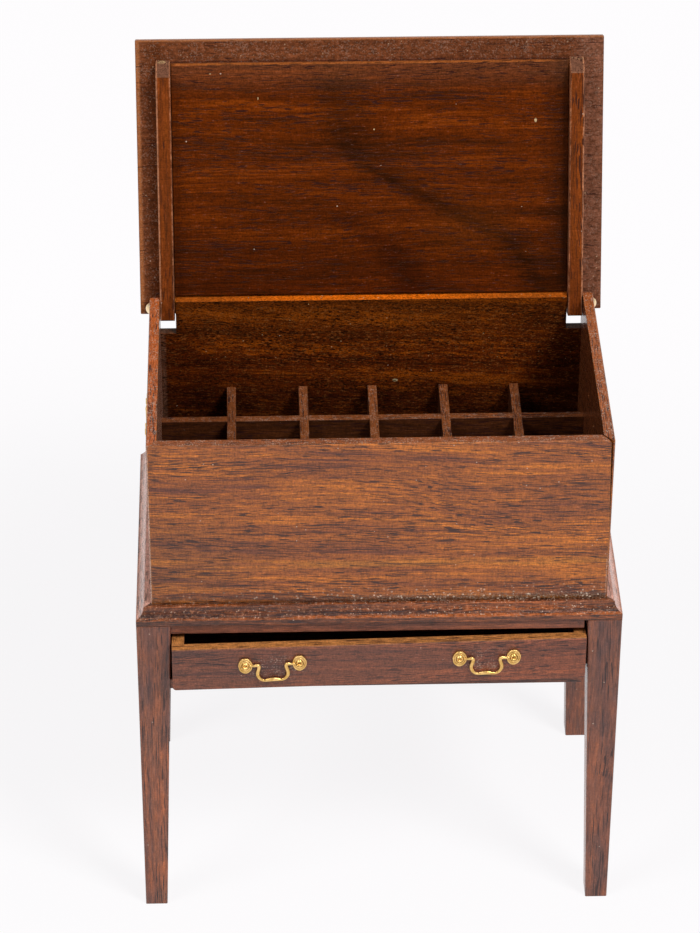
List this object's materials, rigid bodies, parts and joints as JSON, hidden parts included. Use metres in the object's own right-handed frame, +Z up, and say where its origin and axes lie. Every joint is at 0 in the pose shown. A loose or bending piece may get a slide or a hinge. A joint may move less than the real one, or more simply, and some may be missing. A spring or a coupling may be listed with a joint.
{
  "type": "cellarette",
  "caption": "Miniature lidded bottle case with a dividing grid and hinged lid, standing on a four-legged stand with a shallow drawer and brass bail pulls.",
  "frame": {"origin": "on the floor, in the middle of the stand's footprint", "axes": "+X to the right as seen from the front, +Y to the back and +Z up; the drawer slides out towards -Y and the lid swings up and back"},
  "size_m": [0.0636, 0.0531, 0.1073],
  "materials": {
    "walnut": "satin varnish on open-pored walnut",
    "brass": "bright, lightly worn"
  },
  "bodies": {
    "stand": {"apron_back": "walnut", "apron_left": "walnut", "apron_right": "walnut", "drawer_guide_left": "walnut", "drawer_guide_right": "walnut", "drawer_kicker_left": "walnut", "drawer_kicker_right": "walnut", "drawer_runner_left": "walnut", "drawer_runner_right": "walnut", "leg_back_left": "walnut", "leg_back_right": "walnut", "leg_front_left": "walnut", "leg_front_right": "walnut", "moulding_back": "walnut", "moulding_front": "walnut", "moulding_left": "walnut", "moulding_right": "walnut", "rail_lower": "walnut", "rail_top": "walnut", "stand_top_panel": "walnut"},
    "drawer": {"drawer_back": "walnut", "drawer_bottom": "walnut", "drawer_front": "walnut", "drawer_pull_left_plates": "brass", "drawer_pull_left_posts": "brass", "drawer_pull_right_plates": "brass", "drawer_pull_right_posts": "brass", "drawer_side_left": "walnut", "drawer_side_right": "walnut"},
    "case": {"case_back": "walnut", "case_bottom": "walnut", "case_front": "walnut", "case_pull_left_plates": "brass", "case_pull_left_posts": "brass", "case_pull_right_plates": "brass", "case_pull_right_posts": "brass", "case_side_left": "walnut", "case_side_right": "walnut", "divider_cross_1": "walnut", "divider_cross_2": "walnut", "divider_cross_3": "walnut", "divider_cross_4": "walnut", "divider_cross_5": "walnut", "divider_long_1": "walnut", "divider_long_2": "walnut", "divider_long_3": "walnut", "hinge_pin_left": "brass", "hinge_pin_right": "brass"},
    "lid": {"lid_arm_left": "walnut", "lid_arm_right": "walnut", "lid_board": "walnut", "lid_panel": "walnut"},
    "drawer_pull_left_bail": {"drawer_pull_left_bail": "brass"},
    "drawer_pull_right_bail": {"drawer_pull_right_bail": "brass"},
    "case_pull_left_bail": {"case_pull_left_bail": "brass"},
    "case_pull_right_bail": {"case_pull_right_bail": "brass"}
  },
  "joints": [
    {"name": "case_lift", "type": "slide", "parent": "stand", "child": "case", "axis": [0, 0, 1], "range_m": [0, 0.03]},
    {"name": "lid_hinge", "type": "hinge", "parent": "case", "child": "lid", "pos_m": [0, 0.01743, 0.07386], "axis": [1, 0, 0], "range_deg": [0, 109.04]},
    {"name": "drawer_slide", "type": "slide", "parent": "stand", "child": "drawer", "axis": [0, -1, 0], "range_m": [-0.0012, 0.024]},
    {"name": "drawer_left_bail_hinge", "type": "hinge", "parent": "drawer", "child": "drawer_pull_left_bail", "pos_m": [-0.01404, -0.02097, 0.04287], "axis": [-0.9992, -0.0253, -0.0314], "range_deg": [0, 160]},
    {"name": "drawer_right_bail_hinge", "type": "hinge", "parent": "drawer", "child": "drawer_pull_right_bail", "pos_m": [0.01405, -0.02025, 0.04287], "axis": [-0.9997, -0.0253, 0], "range_deg": [0, 160]},
    {"name": "case_left_bail_hinge", "type": "hinge", "parent": "case", "child": "case_pull_left_bail", "pos_m": [-0.03008, 0.00053, 0.0678], "axis": [0, 1, 0], "range_deg": [0, 160]},
    {"name": "case_right_bail_hinge", "type": "hinge", "parent": "case", "child": "case_pull_right_bail", "pos_m": [0.03008, 0.00053, 0.0678], "axis": [0, -1, 0], "range_deg": [0, 160]}
  ]
}
